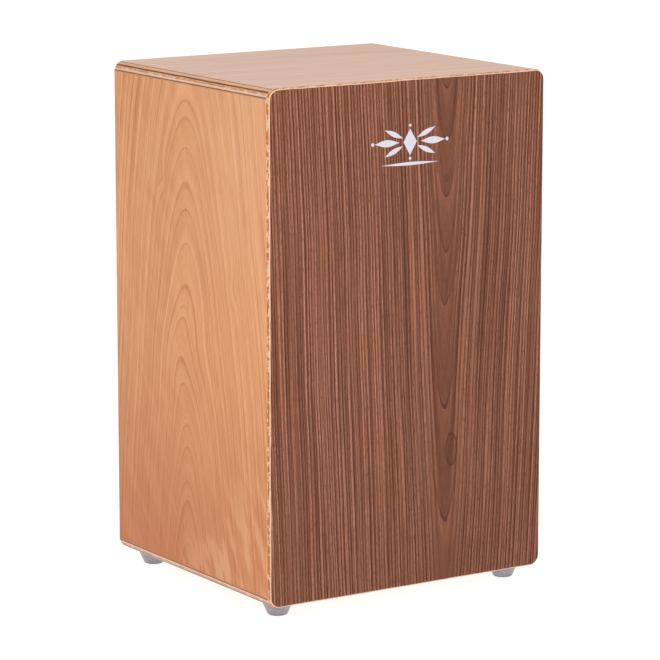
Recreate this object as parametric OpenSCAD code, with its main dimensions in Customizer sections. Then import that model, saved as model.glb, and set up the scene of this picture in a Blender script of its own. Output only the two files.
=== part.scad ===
// Box drum with a wooden playing plate, four rubber feet and a swinging snare bar inside.
// Millimetres. +Z is up, the floor is z = 0, the middle of the footprint is the origin,
// and the playing plate faces -Y.

/* [Body] */
// Outer width of the body across the playing plate
body_w = 300; // [240:1:340]
// Outer depth of the body, playing plate and back included
body_d = 275; // [240:1:340]
// Height of the body without its feet
body_h = 470; // [380:1:540]
// Thickness of the top, bottom and side panels
wall_t = 9; // [8:0.5:15]
// Radius of the four long edges that run front to back
edge_r = 10; // [6:0.5:16]
// Radius of the rear edge of the walls
rear_r = 3; // [1:0.5:4]

/* [Playing plate] */
// Thickness of the plywood playing plate
tapa_t = 4.5; // [3:0.1:6]
// Radius round the front edge of the playing plate
front_r = 3; // [1:0.5:4]

/* [Back] */
// Thickness of the back panel
back_t = 4; // [3:0.5:8]
// Diameter of the sound hole
hole_d = 115; // [90:1:130]
// Height of the sound hole's centre above the floor
hole_z = 315; // [250:1:360]
// Gap between the back panel and the walls round it
back_gap = 0.25; // [0.1:0.05:1]

/* [Inner strips] */
// Width of the strips glued to the walls behind the plate and the back
strip_w = 14; // [10:1:20]
// Depth of those strips, front to back
strip_d = 12; // [8:1:20]
// Leg of the triangular corner strips
corner_leg = 14; // [10:1:20]

/* [Feet] */
// Height of the rubber feet
foot_h = 13; // [8:1:20]
// Diameter of a foot where it meets the body
foot_top_d = 30; // [22:1:36]
// Diameter of a foot just above its rounded lower rim
foot_low_d = 20; // [19:1:30]
// Radius of that rim
foot_round = 2.5; // [0.5:0.5:3]
// Distance of the feet from the left and right faces
foot_in_x = 24; // [20:1:50]
// Distance of the feet from the front and rear faces
foot_in_y = 26; // [20:1:50]

/* [Snare bar] */
// Height of the bar's pivot above the floor
pivot_z = 335; // [250:1:380]
// Distance of the pivot behind the playing plate's rear face
pivot_back = 27; // [24:1:50]
// Depth of the wooden bar
bar_d = 18; // [14:1:24]
// Height of the wooden bar
bar_h = 22; // [16:1:30]
// Forward lean of the bar with the wires against the plate
lean = 8.65; // [0:0.05:15]
// Number of wires in each set
wires = 10; // [6:1:14]
// Distance from wire to wire
wire_pitch = 5; // [3:0.5:7]
// Outer diameter of one coiled wire
wire_d = 2; // [1.2:0.1:2.5]
// Length of the wires
wire_len = 95; // [60:1:120]
// Distance of each set's middle from the body's middle
set_x = 62; // [40:1:90]
// Length of the hand lever behind the bar
lever_len = 66; // [40:1:90]

/* [Hidden] */
$fn = 48;
gap = 0.02;
z_low = foot_h;
z_top = foot_h + body_h;
y_front = -body_d / 2;
y_back = body_d / 2;
y_plate = y_front + tapa_t;
y_panel = y_back - 0.2 - back_t;
x_in = body_w / 2 - wall_t;
z_floor_in = z_low + wall_t;
z_roof_in = z_top - wall_t;
x_strip = x_in - strip_w;
foot_x = body_w / 2 - foot_in_x;
foot_y = body_d / 2 - foot_in_y;
pivot_y = y_plate + pivot_back;
block_t = 14;
block_d = 30;
block_h = 42;
washer_t = 1.2;
bar_half = x_in - block_t - washer_t - 0.4;
pin_r = 3;
plate_t = 1.2;
plate_w = (wires - 1) * wire_pitch + 23;
screw_x = plate_w / 2 - 5;
lever_r = 3;
knob_r = 10;

// ---------- shared shapes ----------

// Box between two corners
module box(a, b) {
    translate(a)
        cube(b - a);
}

// Flat slab with the body's rounded outline, drawn in from it by inset
module outline_slab(y0, y1, inset) {
    box([-body_w / 2 + edge_r, y0, z_low + inset], [body_w / 2 - edge_r, y1, z_top - inset]);
    box([-body_w / 2 + inset, y0, z_low + edge_r], [body_w / 2 - inset, y1, z_top - edge_r]);
    for (sx = [-1, 1])
        for (z = [z_low + edge_r, z_top - edge_r])
            translate([sx * (body_w / 2 - edge_r), y0, z])
                rotate([-90, 0, 0])
                    cylinder(r = edge_r - inset, h = y1 - y0, $fn = 96);
}

// Rounded bead of radius r that follows the same outline, centred on y
module outline_bead(y, r) {
    for (z = [z_low + r, z_top - r])
        translate([-body_w / 2 + edge_r, y, z])
            rotate([0, 90, 0])
                cylinder(r = r, h = body_w - 2 * edge_r);
    for (sx = [-1, 1])
        translate([sx * (body_w / 2 - r), y, z_low + edge_r])
            cylinder(r = r, h = body_h - 2 * edge_r);
    for (sx = [-1, 1])
        for (z = [z_low + edge_r, z_top - edge_r])
            translate([sx * (body_w / 2 - edge_r), y, z])
                rotate([-90, 0, 0])
                    corner_disc(r);
}

// Round-edged disc that turns the bead through one corner
module corner_disc(r) {
    rotate_extrude($fn = 96)
        union() {
            translate([0, -r])
                square([edge_r - r, 2 * r]);
            translate([edge_r - r, 0])
                intersection() {
                    circle(r = r);
                    translate([0, -r])
                        square([r, 2 * r]);
                }
        }
}

// The outside of the four walls, with the rear edge rounded
module wall_block() {
    outline_slab(y_plate, y_back - rear_r, 0);
    outline_slab(y_plate, y_back, rear_r);
    outline_bead(y_back - rear_r, rear_r);
}

// Countersunk wood screw with a cross recess, head up at z = 0
module flat_screw(d, head_d, len) {
    cone_h = (head_d - d) / 2;
    difference() {
        rotate_extrude()
            polygon([[0, 0], [head_d / 2, 0], [head_d / 2, -0.3], [d / 2, -0.3 - cone_h],
                     [d / 2, d * 0.7 - len], [0.2, -len], [0, -len]]);
        cross_recess(head_d * 0.5, 0.8, 1.4);
    }
}

// Hole that takes the countersunk screw, gap wider all round
module flat_screw_hole(d, head_d, len) {
    cone_h = (head_d - d) / 2;
    rotate_extrude()
        polygon([[0, 1], [head_d / 2 + gap, 1], [head_d / 2 + gap, -0.3 - gap],
                 [d / 2 + gap, -0.3 - gap - cone_h], [d / 2 + gap, -len - 0.5], [0, -len - 0.5]]);
}

// Pan head wood screw with a cross recess, the head's underside at z = 0 and the head above
module pan_screw(d, head_d, head_h, len) {
    difference() {
        rotate_extrude()
            polygon([[0, head_h], [head_d * 0.3, head_h], [head_d * 0.45, head_h * 0.7],
                     [head_d / 2, head_h * 0.25], [head_d / 2, 0], [d / 2, 0],
                     [d / 2, d * 0.7 - len], [0.2, -len], [0, -len]]);
        translate([0, 0, head_h])
            cross_recess(head_d * 0.5, 0.8, head_h * 0.6);
    }
}

// Cross recess cut down from z = 0
module cross_recess(w, t, deep) {
    for (a = [0, 90])
        rotate([0, 0, a])
            translate([-w / 2, -t / 2, -deep])
                cube([w, t, deep + 1]);
}

// Straight pilot hole, down from z = 0
module pilot(d, len) {
    translate([0, 0, -len - 0.5])
        cylinder(r = d / 2 + gap, h = len + 0.5);
}

// ---------- places that repeat ----------

module at_feet() {
    for (sx = [-1, 1])
        for (sy = [-1, 1])
            translate([sx * foot_x, sy * foot_y, 0])
                children();
}

// The ten back screws, heads facing +Y
module at_back_screws() {
    x = x_in - back_gap - strip_w / 2;
    z_mid = (z_floor_in + z_roof_in) / 2;
    z_out = body_h / 2 - wall_t - back_gap - strip_w / 2;
    for (sx = [-1, 1])
        for (k = [-1, -0.34, 0.34, 1])
            translate([sx * x, y_panel + back_t, z_mid + k * z_out])
                rotate([-90, 0, 0])
                    children();
    for (s = [-1, 1])
        translate([0, y_panel + back_t, z_mid + s * z_out])
            rotate([-90, 0, 0])
                children();
}

// The two screws in one pivot block, heads facing the middle of the body
module at_block_screws(sx) {
    for (k = [-1, 1])
        translate([sx * (x_in - block_t), pivot_y, pivot_z + k * 15])
            rotate([0, -sx * 90, 0])
                children();
}

// The snare bar's own frame: the pivot line is the X axis and the bar leans forward at rest
module on_bar() {
    translate([0, pivot_y, pivot_z])
        rotate([lean, 0, 0])
            children();
}

// The two screws of one wire set, heads facing the playing plate
module at_plate_screws(sx) {
    for (k = [-1, 1])
        translate([sx * set_x + k * screw_x, -bar_d / 2 - plate_t, 0])
            rotate([90, 0, 0])
                children();
}

// ---------- body ----------

// Plywood playing plate with its front edge rounded all the way round
module tapa() {
    color([0.45, 0.28, 0.2]) {
        outline_slab(y_front + front_r, y_plate, 0);
        outline_slab(y_front, y_plate, front_r);
        outline_bead_half();
    }
}

// The bead of the playing plate, cut off at the plate's rear face
module outline_bead_half() {
    intersection() {
        outline_bead(y_front + front_r, front_r);
        box([-body_w, y_front - 1, 0], [body_w, y_plate, z_top + 1]);
    }
}

module top_panel() {
    color([0.86, 0.73, 0.66])
        intersection() {
            wall_block();
            box([-body_w, y_plate, z_roof_in], [body_w, y_back + 1, z_top + 1]);
        }
}

module bottom_panel() {
    color([0.82, 0.64, 0.5])
        difference() {
            intersection() {
                wall_block();
                box([-body_w, y_plate, z_low - 1], [body_w, y_back + 1, z_floor_in]);
            }
            at_feet()
                translate([0, 0, z_low - 0.5])
                    cylinder(r = 2 + gap, h = 8.5);
        }
}

module side_panel(sx) {
    difference() {
        intersection() {
            wall_block();
            box([sx > 0 ? x_in : -body_w, y_plate, z_floor_in],
                [sx > 0 ? body_w : -x_in, y_back + 1, z_roof_in]);
        }
        at_block_screws(sx)
            pilot(3.5, 20);
    }
}

module left_side() {
    color([0.84, 0.61, 0.46])
        side_panel(-1);
}

module right_side() {
    color([0.84, 0.61, 0.46])
        side_panel(1);
}

// Back panel with the sound hole, its rim eased on both faces
module back_panel() {
    color([0.8, 0.62, 0.48])
        difference() {
            box([-x_in + back_gap, y_panel, z_floor_in + back_gap],
                [x_in - back_gap, y_panel + back_t, z_roof_in - back_gap]);
            translate([0, y_panel, hole_z])
                rotate([-90, 0, 0])
                    sound_hole();
            at_back_screws()
                flat_screw_hole(3.5, 7, 14);
        }
}

// Cutter for the sound hole: a straight bore with a 1 mm chamfer at each face
module sound_hole() {
    r = hole_d / 2;
    rotate_extrude($fn = 144)
        polygon([[0, -1], [r + 2, -1], [r, 1], [r, back_t - 1], [r + 2, back_t + 1], [0, back_t + 1]]);
}

// ---------- inner strips ----------

module front_strip_top() {
    color([0.85, 0.72, 0.52])
        box([-x_in, y_plate, z_roof_in - strip_w], [x_in, y_plate + strip_d, z_roof_in]);
}

module front_strip_bottom() {
    color([0.85, 0.72, 0.52])
        box([-x_in, y_plate, z_floor_in], [x_in, y_plate + strip_d, z_floor_in + strip_w]);
}

module front_strip_left() {
    color([0.85, 0.72, 0.52])
        box([-x_in, y_plate, z_floor_in + strip_w], [-x_strip, y_plate + strip_d, z_roof_in - strip_w]);
}

module front_strip_right() {
    color([0.85, 0.72, 0.52])
        box([x_strip, y_plate, z_floor_in + strip_w], [x_in, y_plate + strip_d, z_roof_in - strip_w]);
}

// Rear strips carry the screws of the back panel
module rear_strip(a, b) {
    color([0.85, 0.72, 0.52])
        difference() {
            box(a, b);
            at_back_screws()
                pilot(3.5, 14);
        }
}

module rear_strip_top() {
    rear_strip([-x_in, y_panel - strip_d, z_roof_in - strip_w], [x_in, y_panel, z_roof_in]);
}

module rear_strip_bottom() {
    rear_strip([-x_in, y_panel - strip_d, z_floor_in], [x_in, y_panel, z_floor_in + strip_w]);
}

module rear_strip_left() {
    rear_strip([-x_in, y_panel - strip_d, z_floor_in + strip_w],
               [-x_strip, y_panel, z_roof_in - strip_w]);
}

module rear_strip_right() {
    rear_strip([x_strip, y_panel - strip_d, z_floor_in + strip_w],
               [x_in, y_panel, z_roof_in - strip_w]);
}

// Triangular strip in one long inside corner
module corner_strip(sx, sz) {
    z = sz > 0 ? z_roof_in : z_floor_in;
    color([0.87, 0.75, 0.56])
        translate([sx * x_in, y_panel - strip_d, z])
            rotate([90, 0, 0])
                linear_extrude(height = y_panel - y_plate - 2 * strip_d)
                    polygon(sx * sz > 0 ? [[0, 0], [-sx * corner_leg, 0], [0, -sz * corner_leg]]
                                        : [[0, 0], [0, -sz * corner_leg], [-sx * corner_leg, 0]]);
}

module corner_strip_top_left() {
    corner_strip(-1, 1);
}

module corner_strip_top_right() {
    corner_strip(1, 1);
}

module corner_strip_bottom_left() {
    corner_strip(-1, -1);
}

module corner_strip_bottom_right() {
    corner_strip(1, -1);
}

// ---------- feet ----------

// Tapered rubber foot with a round lower rim and a recess for its washer and screw
module foot(sx, sy) {
    flank = atan((foot_top_d - foot_low_d) / 2 / (foot_h - foot_round));
    rim_x = foot_low_d / 2 - foot_round / cos(flank);
    rim = [for (k = [0:6]) let (a = (90 - flank) * k / 6)
        [rim_x + foot_round * sin(a), foot_round * (1 - cos(a))]];
    color([0.47, 0.45, 0.48])
        translate([sx * foot_x, sy * foot_y, 0])
            difference() {
                rotate_extrude($fn = 96)
                    polygon(concat([[0, 0]], rim, [[foot_top_d / 2, foot_h], [0, foot_h]]));
                translate([0, 0, -0.5])
                    cylinder(r = 5.6, h = 5.5);
                translate([0, 0, 4])
                    cylinder(r = 2 + 0.1, h = foot_h);
            }
}

module foot_front_left() {
    foot(-1, -1);
}

module foot_front_right() {
    foot(1, -1);
}

module foot_rear_left() {
    foot(-1, 1);
}

module foot_rear_right() {
    foot(1, 1);
}

module foot_washers() {
    color([0.7, 0.7, 0.72])
        at_feet()
            translate([0, 0, 4])
                difference() {
                    cylinder(r = 5.4, h = 1);
                    translate([0, 0, -0.5])
                        cylinder(r = 2.1, h = 2);
                }
}

module foot_screws() {
    color([0.66, 0.66, 0.68])
        at_feet()
            translate([0, 0, 4])
                rotate([180, 0, 0])
                    pan_screw(4, 8, 2.4, foot_h + 3.5);
}

module back_screws() {
    color([0.2, 0.2, 0.2])
        at_back_screws()
            flat_screw(3.5, 7, 14);
}

// ---------- snare bar and its bearings ----------

// Wooden block that carries one end of the snare bar
module pivot_block(sx) {
    color([0.8, 0.66, 0.46])
        difference() {
            box([sx > 0 ? x_in - block_t : -x_in, y_plate + strip_d, pivot_z - block_h / 2],
                [sx > 0 ? x_in : -x_in + block_t, y_plate + strip_d + block_d, pivot_z + block_h / 2]);
            translate([sx * (x_in - block_t - 1), pivot_y, pivot_z])
                rotate([0, sx * 90, 0])
                    cylinder(r = pin_r + 0.05, h = block_t + 2);
            at_block_screws(sx)
                flat_screw_hole(3.5, 7, 20);
        }
}

module pivot_block_left() {
    pivot_block(-1);
}

module pivot_block_right() {
    pivot_block(1);
}

module block_screws() {
    color([0.72, 0.62, 0.3])
        for (sx = [-1, 1])
            at_block_screws(sx)
                flat_screw(3.5, 7, 20);
}

// Wooden bar across the body with eased long edges
module snare_bar() {
    r = 2.5;
    color([0.78, 0.6, 0.4])
        on_bar()
            difference() {
                union() {
                    box([-bar_half, -bar_d / 2 + r, -bar_h / 2], [bar_half, bar_d / 2 - r, bar_h / 2]);
                    box([-bar_half, -bar_d / 2, -bar_h / 2 + r], [bar_half, bar_d / 2, bar_h / 2 - r]);
                    for (sy = [-1, 1])
                        for (sz = [-1, 1])
                            translate([-bar_half, sy * (bar_d / 2 - r), sz * (bar_h / 2 - r)])
                                rotate([0, 90, 0])
                                    cylinder(r = r, h = 2 * bar_half);
                }
                for (sx = [-1, 1])
                    translate([sx * (bar_half - 20.5), 0, 0])
                        rotate([0, sx * 90, 0])
                            cylinder(r = pin_r + gap, h = 21);
                for (sx = [-1, 1])
                    at_plate_screws(sx)
                        pilot(3, 12);
                rotate([90, 0, 0])
                    translate([0, 0, -bar_d / 2 - 1])
                        cylinder(r = lever_r + gap, h = 11.5);
            }
}

// Steel pin pressed into the bar's end and turning in the block
module pivot_pin(sx) {
    color([0.7, 0.7, 0.72])
        on_bar()
            translate([sx * (bar_half - 20), 0, 0])
                rotate([0, sx * 90, 0])
                    cylinder(r = pin_r, h = 20 + washer_t + 0.4 + block_t - 2);
}

module pivot_pin_left() {
    pivot_pin(-1);
}

module pivot_pin_right() {
    pivot_pin(1);
}

module friction_washers() {
    color([0.88, 0.87, 0.82])
        on_bar()
            for (sx = [-1, 1])
                translate([sx * bar_half, 0, 0])
                    rotate([0, sx * 90, 0])
                        difference() {
                            cylinder(r = 8, h = washer_t);
                            translate([0, 0, -0.5])
                                cylinder(r = pin_r + gap, h = washer_t + 1);
                        }
}

// Steel plate that holds one set of wires to the bar's front face
module snare_plate(sx) {
    color([0.78, 0.7, 0.5])
        on_bar()
            difference() {
                box([sx * set_x - plate_w / 2, -bar_d / 2 - plate_t, -7],
                    [sx * set_x + plate_w / 2, -bar_d / 2, 9]);
                at_plate_screws(sx)
                    translate([0, 0, -2])
                        cylinder(r = 1.5 + gap, h = 3);
            }
}

module snare_plate_left() {
    snare_plate(-1);
}

module snare_plate_right() {
    snare_plate(1);
}

// One set of coiled wires, drawn as plain round rods
module snare_wires(sx) {
    color([0.75, 0.75, 0.77])
        on_bar()
            for (i = [0 : wires - 1])
                translate([sx * set_x + (i - (wires - 1) / 2) * wire_pitch,
                           -bar_d / 2 - plate_t - wire_d / 2 - 0.01, 1])
                    cylinder(r = wire_d / 2, h = wire_len, $fn = 24);
}

module snare_wires_left() {
    snare_wires(-1);
}

module snare_wires_right() {
    snare_wires(1);
}

module plate_screws() {
    color([0.7, 0.7, 0.72])
        on_bar()
            for (sx = [-1, 1])
                at_plate_screws(sx)
                    pan_screw(3, 6, 1.8, 12);
}

// Steel rod that turns the bar by hand, reached through the sound hole
module lever_rod() {
    color([0.68, 0.68, 0.7])
        on_bar()
            translate([0, bar_d / 2 - 10, 0])
                rotate([-90, 0, 0])
                    cylinder(r = lever_r, h = 10 + lever_len);
}

// Ball knob on the end of the rod
module lever_knob() {
    color([0.12, 0.12, 0.13])
        on_bar()
            translate([0, bar_d / 2 + lever_len, 0])
                rotate([-90, 0, 0])
                    difference() {
                        intersection() {
                            sphere(r = knob_r, $fn = 72);
                            translate([0, 0, -knob_r + 1.5])
                                cylinder(r = knob_r + 1, h = 2 * knob_r);
                        }
                        translate([0, 0, -knob_r])
                            cylinder(r = lever_r + gap, h = knob_r + 0.1);
                    }
}

tapa();
top_panel();
bottom_panel();
left_side();
right_side();
back_panel();
front_strip_top();
front_strip_bottom();
front_strip_left();
front_strip_right();
rear_strip_top();
rear_strip_bottom();
rear_strip_left();
rear_strip_right();
corner_strip_top_left();
corner_strip_top_right();
corner_strip_bottom_left();
corner_strip_bottom_right();
foot_front_left();
foot_front_right();
foot_rear_left();
foot_rear_right();
foot_washers();
foot_screws();
back_screws();
pivot_block_left();
pivot_block_right();
block_screws();
snare_bar();
pivot_pin_left();
pivot_pin_right();
friction_washers();
snare_plate_left();
snare_plate_right();
snare_wires_left();
snare_wires_right();
plate_screws();
lever_rod();
lever_knob();
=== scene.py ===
import math

import bmesh
import bpy
import numpy as np
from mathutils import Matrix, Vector


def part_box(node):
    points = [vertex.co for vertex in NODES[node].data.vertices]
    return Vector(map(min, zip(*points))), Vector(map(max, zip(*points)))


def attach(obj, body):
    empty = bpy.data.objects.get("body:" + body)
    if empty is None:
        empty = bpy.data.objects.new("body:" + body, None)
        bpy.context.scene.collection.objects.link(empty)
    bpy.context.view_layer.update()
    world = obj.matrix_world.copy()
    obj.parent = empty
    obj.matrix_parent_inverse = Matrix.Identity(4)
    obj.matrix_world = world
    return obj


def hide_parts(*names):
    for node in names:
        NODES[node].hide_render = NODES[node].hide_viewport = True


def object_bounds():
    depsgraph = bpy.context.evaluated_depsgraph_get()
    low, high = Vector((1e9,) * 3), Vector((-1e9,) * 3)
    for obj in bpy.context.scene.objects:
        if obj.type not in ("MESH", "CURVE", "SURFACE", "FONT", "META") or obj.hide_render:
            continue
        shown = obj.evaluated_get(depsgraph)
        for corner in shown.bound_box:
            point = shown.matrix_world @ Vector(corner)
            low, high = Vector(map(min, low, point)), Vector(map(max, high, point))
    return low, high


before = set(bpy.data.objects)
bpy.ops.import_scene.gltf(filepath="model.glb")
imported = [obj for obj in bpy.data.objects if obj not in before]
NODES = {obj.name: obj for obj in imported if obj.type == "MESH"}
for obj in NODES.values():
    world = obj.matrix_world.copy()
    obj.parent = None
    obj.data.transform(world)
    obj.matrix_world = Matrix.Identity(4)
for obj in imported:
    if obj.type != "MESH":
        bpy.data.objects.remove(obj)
CAD_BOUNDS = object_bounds()
LOW = Vector(CAD_BOUNDS[0])
PER_METRE = 1000    # looks are worked out in millimetres, everything else in metres
X, Y, Z = range(3)
WHITE = (1.0, 1.0, 1.0, 1.0)


# ---------- node graphs ----------

def linear(r, g, b):
    """A colour given as 0-255 display values, as the linear colour that a shader wants."""
    def one(c):
        c /= 255
        return c / 12.92 if c <= 0.04045 else ((c + 0.055) / 1.055) ** 2.4
    return (one(r), one(g), one(b), 1.0)


class Value:
    """A number, vector or colour that a node gives; arithmetic on a number adds Math nodes."""

    def __init__(self, graph, socket):
        self.graph = graph
        self.socket = socket

    def __add__(self, other):
        return self.graph.math("ADD", self, other)

    def __radd__(self, other):
        return self.graph.math("ADD", other, self)

    def __sub__(self, other):
        return self.graph.math("SUBTRACT", self, other)

    def __rsub__(self, other):
        return self.graph.math("SUBTRACT", other, self)

    def __mul__(self, other):
        return self.graph.math("MULTIPLY", self, other)

    def __rmul__(self, other):
        return self.graph.math("MULTIPLY", other, self)

    def __truediv__(self, other):
        return self.graph.math("DIVIDE", self, other)

    def __rtruediv__(self, other):
        return self.graph.math("DIVIDE", other, self)


class Graph:
    """One material's node tree, with short calls for the nodes used here."""

    def __init__(self, name):
        self.mat = bpy.data.materials.new(name)
        self.mat.use_nodes = True
        self.tree = self.mat.node_tree
        self.tree.nodes.clear()
        self.out = self.node("ShaderNodeOutputMaterial")
        self.bsdf = self.node("ShaderNodeBsdfPrincipled")
        self.tree.links.new(self.bsdf.outputs["BSDF"], self.out.inputs["Surface"])

    def node(self, kind, **settings):
        made = self.tree.nodes.new(kind)
        for key, value in settings.items():
            setattr(made, key, value)
        return made

    def put(self, socket, value):
        if isinstance(value, Value):
            self.tree.links.new(value.socket, socket)
        else:
            socket.default_value = value

    def math(self, op, a, b=0.0):
        n = self.node("ShaderNodeMath", operation=op)
        self.put(n.inputs[0], a)
        self.put(n.inputs[1], b)
        return Value(self, n.outputs[0])

    def step(self, low, high, value):
        """0 below low, 1 above high and smooth between; low may be the larger."""
        n = self.node("ShaderNodeMapRange", interpolation_type="SMOOTHSTEP", clamp=True)
        for socket, v in zip(n.inputs, (value, low, high, 0.0, 1.0)):
            self.put(socket, v)
        return Value(self, n.outputs[0])

    def band(self, value, low, high, soft):
        """1 between low and high, 0 outside, with soft edges."""
        up = self.step(low - soft, low + soft, value)
        down = self.step(high + soft, high - soft, value)
        return up * down

    def bell(self, value, middle, width):
        """1 at the middle, falling to 0 a couple of widths away."""
        t = (value - middle) / width
        return self.math("EXPONENT", t * t * -1.0)

    def noise(self, x, y=0.0, z=0.0, detail=2.0, rough=0.5, scale=1.0):
        """Noise from 0 to 1, about 0.5, at a place given by its three coordinates."""
        place = self.node("ShaderNodeCombineXYZ")
        for socket, v in zip(place.inputs, (x, y, z)):
            self.put(socket, v)
        n = self.node("ShaderNodeTexNoise")
        self.tree.links.new(place.outputs[0], n.inputs["Vector"])
        n.inputs["Scale"].default_value = scale
        n.inputs["Detail"].default_value = detail
        n.inputs["Roughness"].default_value = rough
        return Value(self, n.outputs[0])

    def wave(self, x, y=0.0, z=0.0, detail=2.0, rough=0.5):
        """Noise about zero, from -1 to 1."""
        return (self.noise(x, y, z, detail, rough) - 0.5) * 2.0

    def mix(self, fac, a, b):
        n = self.node("ShaderNodeMix", data_type="RGBA")
        for index, value in ((0, fac), (6, a), (7, b)):
            self.put(n.inputs[index], value)
        return Value(self, n.outputs[2])

    def ramp(self, fac, stops):
        n = self.node("ShaderNodeValToRGB")
        marks = n.color_ramp.elements
        while len(marks) < len(stops):
            marks.new(0.5)
        for mark, (at, colour) in zip(marks, stops):
            mark.position = at
            mark.color = colour
        self.put(n.inputs[0], fac)
        return Value(self, n.outputs[0])

    def tint(self, colour, factor):
        """Colour times a grey factor that may pass 1."""
        n = self.node("ShaderNodeVectorMath", operation="SCALE")
        self.put(n.inputs[0], colour)
        self.put(n.inputs["Scale"], factor)
        return Value(self, n.outputs[0])

    def axes(self):
        """The surface point's x, y and z in the part's own frame, in millimetres."""
        place = self.node("ShaderNodeTexCoord").outputs["Object"]
        split = self.node("ShaderNodeSeparateXYZ")
        self.put(split.inputs[0], self.tint(Value(self, place), PER_METRE))
        return [Value(self, socket) for socket in split.outputs]

    def bump(self, height, distance, strength):
        n = self.node("ShaderNodeBump")
        n.inputs["Strength"].default_value = strength
        n.inputs["Distance"].default_value = distance
        self.put(n.inputs["Height"], height)
        self.tree.links.new(n.outputs[0], self.bsdf.inputs["Normal"])

    def finish(self, colour, roughness, **plain):
        self.put(self.bsdf.inputs["Base Color"], colour)
        self.put(self.bsdf.inputs["Roughness"], roughness)
        for name, value in plain.items():
            self.bsdf.inputs[name.replace("_", " ")].default_value = value
        return self.mat


def box_mm(node):
    """A node's lower and upper corner, in millimetres."""
    return [corner * PER_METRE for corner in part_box(node)]


# ---------- wood: colours ----------

# Tone scales run from the darkest wood to the lightest.
DARK_TONES = [(0.05, linear(72, 30, 12)), (0.35, linear(102, 53, 31)),
              (0.62, linear(130, 79, 56)), (0.92, linear(182, 122, 97))]
BEECH_TONES = [(0.10, linear(178, 106, 59)), (0.40, linear(206, 137, 86)),
               (0.65, linear(217, 150, 98)), (0.95, linear(234, 174, 126))]
# Pale veneer for the top panel; part of its paleness is painted sheen of the lacquer.
PALE_TONES = [(0.10, linear(202, 153, 130)), (0.40, linear(223, 180, 157)),
              (0.65, linear(232, 191, 169)), (0.95, linear(241, 208, 189))]
SOFT_TONES = [(0.10, linear(176, 132, 84)), (0.45, linear(208, 168, 118)),
              (0.70, linear(222, 186, 138)), (0.95, linear(232, 202, 160))]
HARD_TONES = [(0.10, linear(150, 100, 62)), (0.45, linear(186, 134, 90)),
              (0.70, linear(200, 150, 106)), (0.95, linear(214, 168, 126))]

# Plies seen edge-on: millimetres below the face, and the colour there.
WALL_PLIES = [(0.0, linear(206, 160, 136)), (0.5, linear(160, 104, 78)),
              (0.9, linear(150, 94, 66)), (1.25, linear(226, 178, 138)),
              (2.6, linear(218, 162, 120)), (3.0, linear(104, 58, 44)),
              (3.8, linear(110, 62, 46)), (4.2, linear(220, 162, 116)),
              (5.8, linear(212, 150, 104)), (6.3, linear(230, 196, 172)),
              (7.5, linear(224, 184, 156)), (7.9, linear(126, 74, 48)),
              (8.6, linear(130, 76, 48)), (9.0, linear(206, 150, 112))]
PLATE_PLIES = [(0.0, linear(96, 60, 44)), (0.40, linear(140, 90, 62)),
               (0.55, linear(236, 200, 170)), (1.7, linear(234, 192, 156)),
               (2.1, linear(228, 174, 124)), (3.0, linear(226, 170, 120)),
               (3.3, linear(236, 206, 180)), (4.2, linear(232, 198, 170)),
               (4.5, linear(182, 128, 94))]
WALL_THICK = WALL_PLIES[-1][0]
BACK_THICK = 4.0

PLATE_OUTLINE = linear(76, 37, 25)
PLATE_PORE = linear(74, 38, 24)
PLATE_PALE = linear(180, 120, 94)
PLATE_GLUE = linear(188, 100, 30)
WALL_LINE = linear(190, 118, 72)
WALL_PORE = linear(178, 108, 66)
# Painted light on the walls' upper front, then painted shade at their foot.
WALL_PAINTED_LIGHT = linear(234, 182, 140)
WALL_PAINTED_SHADE = linear(184, 99, 56)
FLAME_LIGHT = linear(232, 174, 128)
FLAME_DARK = linear(190, 116, 72)
JOINT_SHADE = linear(130, 82, 54)
PANEL_WARM = linear(206, 150, 114)
PANEL_GLUE = linear(192, 112, 56)
PANEL_CHIP = linear(240, 214, 196)


# ---------- wood: figure ----------
#
# Figures are worked out from noise at stretched places: a factor on a coordinate is a frequency
# per millimetre, small along the grain and larger across it.

def rings(g, across, along, centre, depth, taper, spread, base, waver, lean=(0.0, -1.0, -2.0)):
    """The growth-ring field of a flat-cut veneer, in millimetres from the pith, and the distance
    across from the pith. The field's level lines are arches about centre, round within depth of
    it, that widen by taper for each millimetre along, less so beyond spread. waver is how much
    the lines wander, and lean an extra taper on the negative side with the two distances between
    which it sets in."""
    drift = g.wave(along * 0.007, 3.7, detail=1.0) * (5.0 * waver)
    bend = g.wave(across * 0.011, along * 0.004, detail=1.0) * (7.0 * waver)
    curl = g.wave(across * 0.06, along * 0.017, 9.0) * (1.6 * waver)
    u = across + (bend + curl) - centre + drift
    far = g.math("SQRT", u * u + depth * depth)
    even_share = 0.12
    fall = (1 - even_share) * taper / (1.0 + u * u * (1.0 / spread ** 2))
    extra, sets_in, full = lean
    slope = fall + even_share * taper + g.step(sets_in, full, u) * extra
    return far - (along - base) * slope, u


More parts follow.
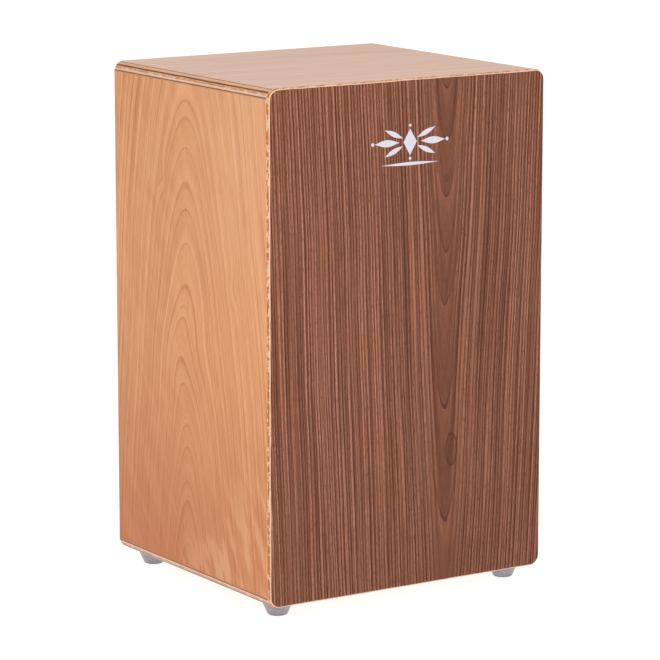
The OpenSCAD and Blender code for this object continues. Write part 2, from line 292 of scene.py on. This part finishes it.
def veneer(g, field, u, along, pitch, width, ring, grain, calm, tones, seed):
    """Colour and height of a veneer with that ring field. pitch is a year's growth and width the
    late wood's share of it; ring is how dark late wood is and grain how strong the streaks are,
    in steps of the tone scale. Within calm of the pith the streaks fade and the rings are left."""
    uneven = g.wave(field * 0.08, along * 0.0012, seed) * 1.2
    year = g.math("FRACT", field / pitch + uneven)
    onset = g.step(1 - width, 1 - 0.4 * width, year)
    end = g.step(0.3 * width, 0.0, year)
    line_share = 0.65
    late = g.math("MAXIMUM", onset, end) * line_share
    late = late + g.step(0.20, 0.85, year) * (1 - line_share)
    fine = 0.35 + 2.3 / pitch    # the streaks' frequency across, finer in narrow-ringed wood
    broad = g.noise(field * (0.27 * fine), along * 0.002, seed, rough=0.6)
    middle = g.noise(field * fine, along * 0.003, seed + 5, detail=3.0, rough=0.75)
    fibre = g.noise(u * (1.25 * fine), along * 0.04, seed + 9, detail=3.0, rough=0.75)
    outside = 1.0 - g.bell(u, 0.0, calm) * 0.75
    streaks = (broad - 0.5 + (middle - 0.5)) * outside
    streaks = (streaks + (fibre - 0.5) * 0.8) * grain
    value = 0.5 + streaks + (0.4 - late) * ring
    return g.ramp(value, tones), value


def eye(g, colour, u, along, right, up, half_w, half_h):
    """A closed ring in the plate's veneer: a thin dark outline round a slightly darker island.
    Its middle is to the right of the figure's middle line and up from the plate's foot."""
    across, rise = u - right, along - up
    a = across / half_w
    b = rise / half_h
    wobble = g.wave(across * 0.12, rise * 0.06, detail=1.0) * 0.12
    out = g.math("SQRT", a * a + b * b) + wobble
    colour = g.mix(g.step(1.05, 0.90, out) * 0.30, colour, PLATE_OUTLINE)
    return g.mix(g.bell(out, 1.0, 0.10) * 0.90, colour, PLATE_OUTLINE)


def ply_edge(g, deep, run, cross, layers):
    """Colour and pores of plies seen edge-on. deep is millimetres below the face, run and cross
    the ways along the panel. The glue lines swell and thin out along it."""
    thick = layers[-1][0]
    swell = g.wave(run * 0.045, deep * 0.5, cross * 0.045, detail=3.0, rough=0.6) * 0.42
    colour = g.ramp((deep + swell) / thick, [(at / thick, tone) for at, tone in layers])
    pores = g.noise(run * 0.6, deep * 2.2, cross * 0.6, detail=3.0, rough=0.7)
    streak = g.noise(run * 0.06, deep * 1.8, cross * 0.06)
    return g.tint(colour, 0.58 + (pores * 0.42 + streak * 0.42)), pores


def wall_edge_shows(g, deep):
    """1 where a wall or panel shows its plies, 0 on its two faces."""
    outer_veneer, inner_skin, soft = 0.60, 0.15, 0.14
    return g.band(deep, outer_veneer, WALL_THICK - inner_skin, soft)


def lacquered(g, colour, height, gloss, distance):
    """Satin lacquer over wood: the grain still stands in it a little, by distance in metres."""
    g.bump(height, distance, 0.55)
    rough = gloss + (height - 0.5) * -0.16
    return g.finish(colour, rough, Coat_Weight=0.05, Coat_Roughness=0.25, Specular_IOR_Level=0.22)


# ---------- wood: playing plate ----------

PLATE_MIDDLE = 0.632    # the figure's middle line, as a share of the plate's width
PLATE_CALM = 13.0       # half width of the plain column along that line
PLATE_VENEER = 0.38     # thickness of the dark face veneer


def plate_figure(g, colour, u, along):
    """The plain middle column of the playing plate: pointed V outlines, closer together in the
    upper half, each zone darkening down to its outline, and two small eyes."""
    tip, flare = 7.0, 0.18
    legs = g.math("SQRT", u * u + tip ** 2) - tip
    rise = along * flare - legs
    wobble = g.wave(u * 0.10, along * 0.02) * 0.10
    per_mm, closer_from, closer_by, start = 0.052, 45.0, 0.059, 0.48
    closer = g.math("MAXIMUM", rise - closer_from, 0.0) * closer_by
    turns = rise * per_mm + closer + (wobble + start)
    zone = g.math("FRACT", turns * -1.0)
    near = g.bell(u, 0.0, PLATE_CALM + 1.0)
    colour = g.tint(colour, 1.0 + g.step(0.5, 0.0, zone) * near * 0.16)
    dusk = g.step(0.10, 1.0, zone) * 0.26
    outline = g.step(0.94, 0.965, zone) * 0.60
    colour = g.mix((dusk + outline) * near, colour, PLATE_OUTLINE)
    colour = eye(g, colour, u, along, right=7.5, up=124.0, half_w=6.0, half_h=15.0)
    return eye(g, colour, u, along, right=0.0, up=377.0, half_w=1.8, half_h=3.6)


def plate_pores(g, colour, field, z, outside):
    """Open pores as short dark dashes and a few pale lines; the pores' strength as well."""
    pore = g.noise(field * 1.3, z * 0.18, 14.0, rough=0.7)
    pores = g.step(0.46, 0.36, pore) * (outside * 0.8 + 0.2)
    colour = g.mix(pores * 0.55, colour, PLATE_PORE)
    pale = g.step(0.56, 0.66, g.noise(field * 0.9, z * 0.002, 19.0, detail=1.0))
    return g.mix(pale * outside * 0.35, colour, PLATE_PALE), pores


def plate_clouds_and_painted_shade(g, colour, x, z, low, high):
    """Painted shade: the plate is painted a little darker to the right and at its foot, over faint
    clouds of its own tone.
    """
    cloud = g.noise(x * 0.012, z * 0.006, 3.0)
    # painted shade towards the right and the foot
    even = 1.10 - g.step(low.x, high.x, x) * 0.16
    even = even - g.step(high.z + 50.0, low.z, z) * 0.11
    return g.tint(colour, even + cloud * 0.24)


def plate_edge(g, deep, x, z):
    """The plate's edge: pale plies with dark spots of glue along the core."""
    edge, speck = ply_edge(g, deep, z, x, PLATE_PLIES)
    dots = g.noise(x * 0.17, deep * 0.3, z * 0.17, rough=0.7)
    core = g.step(0.45, 0.52, dots) * g.band(deep, 1.2, 4.1, 0.4)
    return g.mix(core * 0.95, edge, PLATE_GLUE), speck


def make_plate_wood():
    """The playing plate: striped dark veneer in front, pale plies where its edge is rounded."""
    g = Graph("plate_veneer")
    x, y, z = g.axes()
    low, high = box_mm("tapa")
    centre = low.x + PLATE_MIDDLE * (high.x - low.x)
    field, u = rings(g, x, z, centre, depth=13.0, taper=0.045, spread=400.0, base=low.z, waver=0.28)
    outside = 1.0 - g.bell(u, 0.0, PLATE_CALM)
    colour, value = veneer(g, field, u, z, pitch=3.3, width=0.50, ring=outside * 0.46, grain=0.90,
                           calm=PLATE_CALM, tones=DARK_TONES, seed=2.0)
    colour, pores = plate_pores(g, colour, field, z, outside)
    colour = plate_figure(g, colour, u, z - low.z)
    # painted shade to the right and at the foot
    colour = plate_clouds_and_painted_shade(g, colour, x, z, low, high)
    deep = y - low.y
    edge, speck = plate_edge(g, deep, x, z)
    veneer_thick = PLATE_VENEER + g.wave(x * 0.2, z * 0.2) * 0.05
    shows = g.math("GREATER_THAN", deep, veneer_thick)
    colour = g.mix(shows, colour, edge)
    backing, _ = veneer(g, field, u, z, pitch=9.0, width=0.15, ring=0.3, grain=0.6,
                        calm=8.0, tones=BEECH_TONES, seed=6.0)
    inside = g.math("GREATER_THAN", deep, high.y - low.y - 0.05)
    colour = g.mix(inside, colour, backing)
    height = (value * 0.7 - pores * 0.8) * (1.0 - shows) + speck * shows * 0.5
    return lacquered(g, colour, height, gloss=0.46, distance=0.00006)


# ---------- wood: walls and panels ----------

# Small swirls in a wall: millimetres behind its middle, height as a share, and half sizes.
SWIRLS = [(-74.0, 0.60, 9.0, 15.0), (46.0, 0.79, 8.0, 16.0)]
SWIRL_LIFT = 8.0


def wall_field(g, across, along, flip, low, high):
    """Ring field of a wall: a column of round arches that sways a little, and two small swirls.
    flip is -1 for the wall whose figure is a mirror image."""
    tall = high - low
    y = across * flip
    sway = g.bell(along, low + 0.45 * tall, 0.10 * tall) * g.bell(y, 8.0, 48.0)
    centre = 5.0 + sway * 13.0
    field, u = rings(g, y, along, centre, depth=33.0, taper=-0.36, spread=72.0, base=high,
                     waver=0.6, lean=(-0.03, -40.0, -110.0))
    swirls = 0.0
    for middle, share, half_w, half_h in SWIRLS:
        swirls = swirls + g.bell(y, middle, half_w) * g.bell(along, low + share * tall, half_h)
    return field + swirls * SWIRL_LIFT, u


def wall_lines(g, colour, field, u, z, seed):
    """Fine growth lines, fainter near the pith, and short pores."""
    line = g.noise(field * 0.55, z * 0.0015, seed + 21.0, rough=0.7)
    far = 1.0 - g.bell(u, 0.0, 24.0) * 0.6
    colour = g.mix(g.step(0.50, 0.62, line) * far * 0.34, colour, WALL_LINE)
    pore = g.noise(u * 1.6, z * 0.22, seed + 23.0, rough=0.7)
    return g.mix(g.step(0.42, 0.32, pore) * 0.30, colour, WALL_PORE)


def wall_clouds_and_painted_light(g, colour, y, z, low, high, seed):
    """Faint clouds of the veneer's own tone, with painted light and painted shade: the wall is
    painted lighter towards the front and the top, and painted darker and redder at its foot.
    """
    cloud = g.noise(y * 0.018, z * 0.007, seed, rough=0.6)
    front = g.step(90.0, -150.0, y)
    rise = g.step(low.z - 60.0, low.z + 240.0, z)
    # painted light: lighter towards the front and the top, over clouds of the veneer's own tone
    shade = cloud * 0.14 + (front * 0.08 + rise * 0.05)
    colour = g.tint(colour, 0.89 + shade)
    # painted light on the upper front of the wall
    painted_light_mask = front * g.step(low.z + 150.0, high.z, z)
    colour = g.mix(painted_light_mask * 0.35, colour, WALL_PAINTED_LIGHT)
    # painted shade at the foot of the wall, strongest towards the rear
    painted_shade_mask = (1.0 - rise) * (1.0 - front * 0.5)
    return g.mix(painted_shade_mask * 0.80, colour, WALL_PAINTED_SHADE)


def wall_flame(g, colour, y, z, low, seed):
    """Slanting light and dark flames, strongest in the lower front corner."""
    slant = y * 0.06 + z * -0.03
    flame = g.noise(slant, z * 0.016, seed + 3.0)
    corner = g.step(170.0, 60.0, z - low.z + (y - LOW.y * PER_METRE) * 0.8)
    strength = 0.10 + corner * 0.38
    colour = g.mix(g.step(0.48, 0.60, flame) * strength, colour, FLAME_LIGHT)
    return g.mix(g.step(0.46, 0.36, flame) * strength, colour, FLAME_DARK)


def make_wall_wood(name, node, flip, seed):
    """A side wall: warm flat-cut veneer on both faces, plies where its edges show."""
    g = Graph(name)
    x, y, z = g.axes()
    low, high = box_mm(node)
    field, u = wall_field(g, y, z, flip, low.z, high.z)
    colour, value = veneer(g, field, u, z, pitch=10.0, width=0.16, ring=0.34, grain=0.90,
                           calm=26.0, tones=BEECH_TONES, seed=seed)
    colour = wall_lines(g, colour, field, u, z, seed)
    # painted light towards the front and top, painted shade at the foot
    colour = wall_clouds_and_painted_light(g, colour, y, z, low, high, seed)
    colour = wall_flame(g, colour, y, z, low, seed)
    deep = LOW.x * -PER_METRE - g.math("ABSOLUTE", x)
    edge, _ = ply_edge(g, deep, z, y, WALL_PLIES)
    colour = g.mix(wall_edge_shows(g, deep), colour, edge)
    joint = g.math("MINIMUM", high.z - z, z - low.z)
    colour = g.mix(g.step(0.75, 0.25, joint) * 0.45, colour, JOINT_SHADE)
    return lacquered(g, colour, value * 0.8, gloss=0.40, distance=0.00003)


def make_panel_wood(name, node, deep_of, tones, seed):
    """Top or bottom panel: straight grain from side to side, plies round its long edges. deep_of
    gives the depth below its outer face at a height."""
    g = Graph(name)
    x, y, z = g.axes()
    low, _ = box_mm(node)
    deep = deep_of(z)
    field, u = rings(g, y, x, 175.0, depth=30.0, taper=0.05, spread=200.0, base=low.x, waver=1.0)
    colour, value = veneer(g, field, u, x, pitch=16.0, width=0.2, ring=0.12, grain=0.80,
                           calm=20.0, tones=tones, seed=seed)
    streak = g.bell(y + x * 0.10, 78.0, 7.0) * g.step(-60.0, 60.0, x)
    colour = g.mix(streak * 0.35, colour, PANEL_WARM)
    cloud = g.noise(x * 0.010, y * 0.03, seed, detail=3.0, rough=0.6)
    colour = g.tint(colour, 0.92 + cloud * 0.16)
    edge, _ = ply_edge(g, deep, y, x, WALL_PLIES)
    glue = g.noise(y * 0.12, deep * 0.5, x * 0.12, detail=1.0, rough=0.75)
    spots = g.step(0.48, 0.58, glue) * g.band(deep, 4.3, 6.2, 0.3)
    edge = g.mix(spots * 0.65, edge, PANEL_GLUE)
    chips = g.step(0.46, 0.38, glue) * g.band(deep, 4.8, 6.2, 0.3)
    edge = g.mix(chips * 0.40, edge, PANEL_CHIP)
    colour = g.mix(wall_edge_shows(g, deep), colour, edge)
    return lacquered(g, colour, value * 0.8, gloss=0.40, distance=0.00003)


def make_back_wood():
    """Back panel: warm veneer with upright grain, plies in the rim of the sound hole."""
    g = Graph("back_veneer")
    x, y, z = g.axes()
    _, high = box_mm("back_panel")
    field, u = rings(g, x, z, -40.0, depth=14.0, taper=-0.30, spread=70.0, base=high.z, waver=0.8)
    colour, value = veneer(g, field, u, z, pitch=10.0, width=0.15, ring=0.26, grain=0.60,
                           calm=20.0, tones=BEECH_TONES, seed=31.0)
    deep = high.y - y
    edge, _ = ply_edge(g, deep * (WALL_THICK / BACK_THICK), x, z, WALL_PLIES)
    outer = g.step(0.30, 0.12, deep)
    inner = g.step(BACK_THICK - 0.25, BACK_THICK - 0.10, deep)
    colour = g.mix(g.math("MAXIMUM", outer, inner), edge, colour)
    return lacquered(g, colour, value * 0.8, gloss=0.44, distance=0.00003)


def make_plain_wood(name, axis, tones, seed, gloss=0.6):
    """Planed solid timber with its grain along one axis."""
    g = Graph(name)
    place = g.axes()
    along = place.pop(axis)
    a, b = place
    field = a * 0.9 + b * 0.45 + g.wave(along * 0.01, seed, detail=1.0) * 4.0
    colour, value = veneer(g, field, b, along, pitch=3.4, width=0.15, ring=0.3, grain=0.7,
                           calm=1.0, tones=tones, seed=seed)
    planed = g.noise(along * 1.1, seed, detail=1.0)
    colour = g.tint(colour, 0.94 + planed * 0.10)
    return lacquered(g, colour, value, gloss, distance=0.00008)


# ---------- other materials ----------

# The rubber is dark: these mid greys are painted sheen, and the rim colour is painted shade where
# the foot meets the floor.
RUBBER_PAINTED_SHEEN_TONES = [(0.3, linear(126, 120, 127)), (0.7, linear(156, 150, 158))]
RUBBER_RIM_SHADE = linear(74, 66, 70)
INK = linear(214, 212, 221)
INK_THIN = linear(190, 178, 180)
FLOOR_DARK = linear(126, 126, 126)
FLOOR_LIGHT = linear(130, 130, 130)


def make_rubber():
    """Dark moulded rubber, painted in mid greys with a faint mottle as painted sheen, and painted
    darker at the rim it stands on as painted shade.
    """
    g = Graph("foot_rubber")
    x, y, z = g.axes()
    fine = g.noise(x, y, z, detail=3.0, rough=0.6, scale=2.6)
    # a mottle across the painted sheen, which also varies the roughness
    sheen_mottle = g.noise(x, y, z, detail=3.0, rough=0.6, scale=0.35)
    # painted shade at the rim that stands on the floor
    rim = g.step(3.0, 0.5, z)
    colour = g.mix(rim * 0.6, g.ramp(sheen_mottle, RUBBER_PAINTED_SHEEN_TONES), RUBBER_RIM_SHADE)
    g.bump(fine, 0.00012, 0.3)
    return g.finish(colour, 0.26 + sheen_mottle * 0.14, Specular_IOR_Level=0.8)


def make_metal(name, tone, rough, axis=Z):
    """Metal with fine drawn lines along one axis."""
    g = Graph(name)
    place = g.axes()
    place[axis] = place[axis] * 0.12
    lines = g.noise(*place, detail=3.0, rough=0.7, scale=6.0)
    cloud = g.noise(*place, scale=0.5)
    shade = tuple(c * 0.8 for c in tone[:3]) + (1.0,)
    g.bump(lines, 0.00003, 0.5)
    return g.finish(g.mix(cloud, shade, tone), rough + lines * 0.14, Metallic=1.0)


def make_plastic(name, tone, rough):
    """Moulded plastic with a faint mottle."""
    g = Graph(name)
    x, y, z = g.axes()
    fine = g.noise(x, y, z, scale=3.0)
    light = tuple(min(1.0, c * 1.2 + 0.01) for c in tone[:3]) + (1.0,)
    g.bump(fine, 0.00005, 0.3)
    return g.finish(g.mix(fine, tone, light), rough + fine * 0.08, Specular_IOR_Level=0.5)


def make_ink():
    """White print: it thins a little over the pores of the veneer."""
    g = Graph("ornament_ink")
    x, _, z = g.axes()
    pore = g.noise(x * 1.6, z * 0.12, detail=3.0, rough=0.6)
    thin = g.step(0.62, 0.8, pore) * 0.5
    g.bump(pore, 0.00003, 0.4)
    return g.finish(g.mix(thin, INK, INK_THIN), 0.4 + pore * 0.1)


def make_floor():
    """White studio floor, with a little light of its own so that shadows on it stay faint."""
    g = Graph("studio_floor")
    x, y, _ = g.axes()
    cloud = g.noise(x * 0.004, y * 0.004)
    colour = g.mix(cloud, FLOOR_DARK, FLOOR_LIGHT)
    return g.finish(colour, 0.85, Emission_Color=WHITE, Emission_Strength=0.90)


# ---------- mesh pieces ----------

def new_mesh(name, verts, faces, material, smooth=True):
    """An object with one material, made from points in metres and faces."""
    mesh = bpy.data.meshes.new(name)
    mesh.from_pydata([tuple(v) for v in verts], [], faces)
    mesh.update()
    obj = bpy.data.objects.new(name, mesh)
    bpy.context.scene.collection.objects.link(obj)
    mesh.materials.append(material)
    for p in mesh.polygons:
        p.use_smooth = smooth
    return obj


def lathe(name, profile, centre, material, steps=96):
    """Turns a profile of (radius, height) points, in metres, about a vertical line."""
    verts, faces = [], []
    count = len(profile)
    for k in range(steps):
        a = 2 * math.pi * k / steps
        for r, h in profile:
            verts.append((centre.x + r * math.cos(a), centre.y + r * math.sin(a), centre.z + h))
    for k in range(steps):
        j = (k + 1) % steps
        for i in range(count - 1):
            faces.append((k * count + i, j * count + i, j * count + i + 1, k * count + i + 1))
    return new_mesh(name, verts, faces, material)


def arc(cx, cy, r, start, end, steps):
    """Points on a circle's arc, angles in degrees."""
    angles = np.radians(np.linspace(start, end, steps))
    return [(cx + r * math.cos(a), cy + r * math.sin(a)) for a in angles]


def make_foot(node, material):
    """A moulded foot: round lower rim, thin flange at the body and a recess for its screw."""
    low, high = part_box(node)
    top_r, h = (high.x - low.x) / 2, high.z - low.z
    rim = h * 0.19
    flank = math.degrees(math.atan2(top_r / 3, h - rim))
    rim_x = top_r * 2 / 3 - rim / math.cos(math.radians(flank))
    bore_r, recess_r, recess_h, chamfer = 0.0021, 0.0056, 0.005, 0.0004
    fillet, fillet_steps = 0.0005, 5
    recess = [(bore_r, recess_h), (recess_r - chamfer, recess_h), (recess_r, recess_h - chamfer)]
    recess += [(recess_r, fillet + 0.0001)]
    recess += arc(recess_r + fillet, fillet, fillet, 180, 270, fillet_steps)
    outside = arc(rim_x, rim, rim, -90, -flank, 12)
    outside += [(top_r - 0.0010, h - 0.0016), (top_r - 0.0004, h - 0.0012)]
    outside += arc(top_r - fillet, h - 0.0006, fillet, -60, 60, fillet_steps)
    top = [(top_r - 0.0007, h), (bore_r, h), (bore_r, recess_h)]
    centre = Vector(((low.x + high.x) / 2, (low.y + high.y) / 2, low.z))
    foot = lathe(node + "_moulded", recess + outside + top, centre, material)
    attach(foot, "box")
    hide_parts(node)


COIL_RADIUS = 0.00074
COIL_TURNS = 68
COIL_STEPS = 10         # points in a turn
WIRE_RADIUS = 0.00025
WIRE_SIDES = 5
WIRE_GAP = 0.0015       # more than this between two rods' vertices, less within one rod


def coil_points(start, end):
    """Points along a coil spring from start to end, with short straight tails."""
    axis = (end - start).normalized()
    side = axis.cross(Vector((1, 0, 0))).normalized()
    other = axis.cross(side)
    points = []
    count = COIL_TURNS * COIL_STEPS
    for i in range(count + 1):
        t = i / count
        a = 2 * math.pi * i / COIL_STEPS
        r = COIL_RADIUS * min(1.0, 14 * t, 40 * (1 - t))
        points.append(start.lerp(end, t) + side * (r * math.cos(a)) + other * (r * math.sin(a)))
    return points


def tube(points, r, sides):
    """Vertices and faces of a round tube along points."""
    path = np.array([tuple(p) for p in points])
    tangent = np.gradient(path, axis=0)
    tangent /= np.linalg.norm(tangent, axis=1)[:, None]
    helper = np.tile((1.0, 0.0, 0.0), (len(path), 1))
    helper[np.abs(tangent[:, 0]) > 0.9] = (0.0, 1.0, 0.0)
    normal = np.cross(tangent, helper)
    normal /= np.linalg.norm(normal, axis=1)[:, None]
    binormal = np.cross(tangent, normal)
    verts = []
    for p, n, b in zip(path, normal, binormal):
        for k in range(sides):
            a = 2 * math.pi * k / sides
            verts.append(p + r * (math.cos(a) * n + math.sin(a) * b))
    faces = []
    for i in range(len(path) - 1):
        for k in range(sides):
            j = (k + 1) % sides
            a, b = i * sides, (i + 1) * sides
            faces.append((a + k, a + j, b + j, b + k))
    faces.append(tuple(range(sides))[::-1])
    faces.append(tuple((len(path) - 1) * sides + k for k in range(sides)))
    return verts, faces


def strand_lines(node):
    """The centre lines of a set's wires, read from the separate rods in its CAD node."""
    co = np.array([v.co for v in NODES[node].data.vertices])
    order = np.argsort(co[:, 0])
    rods = np.split(order, np.nonzero(np.diff(co[order, 0]) > WIRE_GAP)[0] + 1)
    lines = []
    for rod in rods:
        part = co[rod]
        middle = part[:, 2].mean()
        low = part[part[:, 2] < middle].mean(axis=0)
        high = part[part[:, 2] > middle].mean(axis=0)
        lines.append((Vector(low), Vector(high)))
    return lines


def make_coils(node, material):
    """True coiled wires in the space of the plain rods."""
    verts, faces = [], []
    for low, high in strand_lines(node):
        wire_verts, wire_faces = tube(coil_points(low, high), WIRE_RADIUS, WIRE_SIDES)
        base = len(verts)
        verts += wire_verts
        faces += [tuple(base + i for i in face) for face in wire_faces]
    coils = new_mesh(node + "_coiled", verts, faces, material)
    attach(coils, "snare")
    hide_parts(node)


# ---------- ornament ----------

def slab(name, outlines, y, thick, material):
    """Flat shapes in the XZ plane with a little thickness towards -Y."""
    made = bmesh.new()
    for outline in outlines:
        ring = [made.verts.new((x, y, z)) for x, z in outline]
        made.faces.new(ring)
    grown = bmesh.ops.extrude_face_region(made, geom=made.faces[:])
    moved = [v for v in grown["geom"] if isinstance(v, bmesh.types.BMVert)]
    bmesh.ops.translate(made, verts=moved, vec=(0, -thick, 0))
    bmesh.ops.recalc_face_normals(made, faces=made.faces[:])
    mesh = bpy.data.meshes.new(name)
    made.to_mesh(mesh)
    made.free()
    mesh.materials.append(material)
    obj = bpy.data.objects.new(name, mesh)
    bpy.context.scene.collection.objects.link(obj)
    return obj


def leaf(cx, cz, length, width, tilt=0.0, steps=16):
    """Pointed oval about a middle point, its long axis tilted from X by tilt degrees."""
    top = [(-length / 2 + length * t, width / 2 * math.sin(math.pi * t) ** 1.2)
           for t in np.linspace(0, 1, steps)]
    low = [(x, -z) for x, z in reversed(top[1:-1])]
    c, s = math.cos(math.radians(tilt)), math.sin(math.radians(tilt))
    return [(cx + c * x - s * z, cz + s * x + c * z) for x, z in top + low]


def lozenge(cx, cz, half_w, half_h):
    return [(cx - half_w, cz), (cx, cz + half_h), (cx + half_w, cz), (cx, cz - half_h)]


def disc(cx, cz, r, steps=24):
    return arc(cx, cz, r, 0, 360 * (1 - 1 / steps), steps)


ORNAMENT_HEIGHT = 0.879          # its middle, as a share of the plate's height
LONG_LEAF = (0.0270, 0.0064)     # length and width
SHORT_LEAF = (0.0220, 0.0046)
LOWER_BAR = (0.0640, 0.0030)
INK_SINK = 0.00002               # the print starts this far inside the veneer
INK_THICK = 0.00010


def make_ornament(material):
    """A plain symmetrical ornament: a lozenge between sprays of tapered leaves and dots."""
    low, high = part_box("tapa")
    cx = (low.x + high.x) / 2
    cz = low.z + ORNAMENT_HEIGHT * (high.z - low.z)
    shapes = [lozenge(cx, cz, 0.0072, 0.0120)]
    for side in (-1, 1):
        shapes.append(leaf(cx + side * 0.0250, cz, *LONG_LEAF))
        for way in (1, -1):
            root_x, root_z = cx + side * 0.0175, cz + way * 0.0078
            shapes.append(leaf(root_x, root_z, *SHORT_LEAF, tilt=side * way * 24))
        shapes.append(disc(cx + side * 0.0405, cz, 0.0017))
        shapes.append(disc(cx, cz + side * 0.0150, 0.0014))
    shapes.append(leaf(cx, cz - 0.0198, *LOWER_BAR))
    ornament = slab("front_ornament", shapes, low.y + INK_SINK, INK_THICK, material)
    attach(ornament, "box")


# ---------- looks of the CAD nodes ----------

def wear(node, material):
    """Gives a CAD node one material."""
    mesh = NODES[node].data
    mesh.materials.clear()
    mesh.materials.append(material)


def ease(node, width):
    """Rounds a node's sharp edges a little with modifiers."""
    obj = NODES[node]
    weld = obj.modifiers.new("weld", "WELD")
    weld.merge_threshold = 0.00001
    bevel = obj.modifiers.new("ease", "BEVEL")
    bevel.width = width
    bevel.segments = 2
    bevel.limit_method = "ANGLE"
    bevel.angle_limit = math.radians(50)


def dress_box():
    """The plywood panels that make the box."""
    wear("tapa", make_plate_wood())
    wear("left_side", make_wall_wood("left_wall_veneer", "left_side", flip=1, seed=4.0))
    wear("right_side", make_wall_wood("right_wall_veneer", "right_side", flip=-1, seed=17.0))
    roof = box_mm("top_panel")[1].z
    base = box_mm("bottom_panel")[0].z
    # the top's pale tones are partly painted sheen
    wear("top_panel", make_panel_wood("top_veneer", "top_panel",
                                      lambda z: roof - z, PALE_TONES, seed=8.0))
    wear("bottom_panel", make_panel_wood("bottom_veneer", "bottom_panel",
                                         lambda z: z - base, BEECH_TONES, seed=12.0))
    wear("back_panel", make_back_wood())


def dress_strips():
    """Each strip's grain runs along it."""
    strip_x = make_plain_wood("strip_wood_x", X, SOFT_TONES, seed=21.0)
    strip_y = make_plain_wood("strip_wood_y", Y, SOFT_TONES, seed=22.0)
    strip_z = make_plain_wood("strip_wood_z", Z, SOFT_TONES, seed=23.0)
    for node in NODES:
        if node.startswith(("front_strip", "rear_strip")):
            wear(node, strip_z if node.endswith(("left", "right")) else strip_x)
            ease(node, width=0.0006)
        if node.startswith("corner_strip"):
            wear(node, strip_y)


def dress_fittings():
    """Screws, washers and the snare bar with all it carries, and the feet."""
    zinc = make_metal("zinc_steel", (0.62, 0.62, 0.64, 1.0), rough=0.26)
    black = make_metal("black_steel", (0.05, 0.05, 0.055, 1.0), rough=0.35)
    brass = make_metal("brass_plated", (0.74, 0.56, 0.26, 1.0), rough=0.24, axis=X)
    pins = make_metal("pin_steel", (0.66, 0.66, 0.68, 1.0), rough=0.2, axis=X)
    block = make_plain_wood("block_wood", Z, HARD_TONES, seed=25.0, gloss=0.5)
    wear("snare_bar", make_plain_wood("bar_wood", X, HARD_TONES, seed=27.0, gloss=0.45))
    for node in ("pivot_block_left", "pivot_block_right"):
        wear(node, block)
        ease(node, width=0.0008)
    for node in ("foot_washers", "foot_screws", "plate_screws"):
        wear(node, zinc)
    for node in ("pivot_pin_left", "pivot_pin_right", "lever_rod"):
        wear(node, pins)
    for node in ("snare_plate_left", "snare_plate_right", "block_screws"):
        wear(node, brass)
    wear("back_screws", black)
    wear("friction_washers", make_plastic("nylon", linear(232, 228, 214), rough=0.5))
    wear("lever_knob", make_plastic("knob_plastic", linear(26, 26, 28), rough=0.16))
    rubber = make_rubber()
    for node in ("foot_front_left", "foot_front_right", "foot_rear_left", "foot_rear_right"):
        make_foot(node, rubber)
    wire = make_metal("snare_wire", (0.7, 0.7, 0.72, 1.0), rough=0.18)
    for node in ("snare_wires_left", "snare_wires_right"):
        make_coils(node, wire)


# ---------- studio ----------

CAMERA_LENS = 190.3              # millimetres, on a 36 mm wide sensor
CAMERA_AZIMUTH = -33.06          # degrees, 0 looks along +Y
CAMERA_ELEVATION = 10.70
CAMERA_DISTANCE = 3.2907
CAMERA_TARGET = Vector((0.0035, 0.0, 0.2316))
LAMP_TARGET = Vector((0, 0, 0.25))
WORLD_STRENGTH = 0.70
FLOOR_HALF = 6.0


def direction(azimuth, elevation):
    """From the object towards a viewer; azimuth 0 looks along +Y."""
    a, e = math.radians(azimuth), math.radians(elevation)
    return Vector((math.sin(a) * math.cos(e), -math.cos(a) * math.cos(e), math.sin(e)))


def aim(name, data, toward, location):
    """An object for a camera or lamp that looks against toward."""
    obj = bpy.data.objects.new(name, data)
    obj.location = location
    obj.rotation_euler = toward.to_track_quat("Z", "Y").to_euler()
    bpy.context.scene.collection.objects.link(obj)
    return obj


def add_camera():
    data = bpy.data.cameras.new("camera")
    data.sensor_width = 36.0
    data.lens = CAMERA_LENS
    data.clip_end = 50.0
    toward = direction(CAMERA_AZIMUTH, CAMERA_ELEVATION)
    place = CAMERA_TARGET + toward * CAMERA_DISTANCE
    bpy.context.scene.camera = aim("camera", data, toward, place)


def add_area(name, azimuth, elevation, distance, size, power):
    """A rectangular lamp, size in metres and power in watts, aimed at the object's middle."""
    data = bpy.data.lights.new(name, "AREA")
    data.shape = "RECTANGLE"
    data.size, data.size_y = size
    data.energy = power
    toward = direction(azimuth, elevation)
    aim(name, data, toward, LAMP_TARGET + toward * distance)


def add_studio():
    """White world, two lamps and a white floor."""
    scene = bpy.context.scene
    scene.view_settings.view_transform = "Standard"
    world = bpy.data.worlds.new("studio")
    scene.world = world
    world.use_nodes = True
    back = world.node_tree.nodes["Background"]
    back.inputs["Color"].default_value = WHITE
    back.inputs["Strength"].default_value = WORLD_STRENGTH
    add_area("key", azimuth=-42, elevation=42, distance=2.2, size=(1.5, 1.5), power=13)
    add_area("front", azimuth=12, elevation=25, distance=2.6, size=(1.6, 1.8), power=6)
    signs = ((-1, -1), (1, -1), (1, 1), (-1, 1))
    corners = [(sx * FLOOR_HALF, sy * FLOOR_HALF, 0) for sx, sy in signs]
    floor = new_mesh("floor", corners, [(0, 1, 2, 3)], make_floor(), smooth=False)


dress_box()
dress_strips()
dress_fittings()
make_ornament(make_ink())
add_camera()
add_studio()
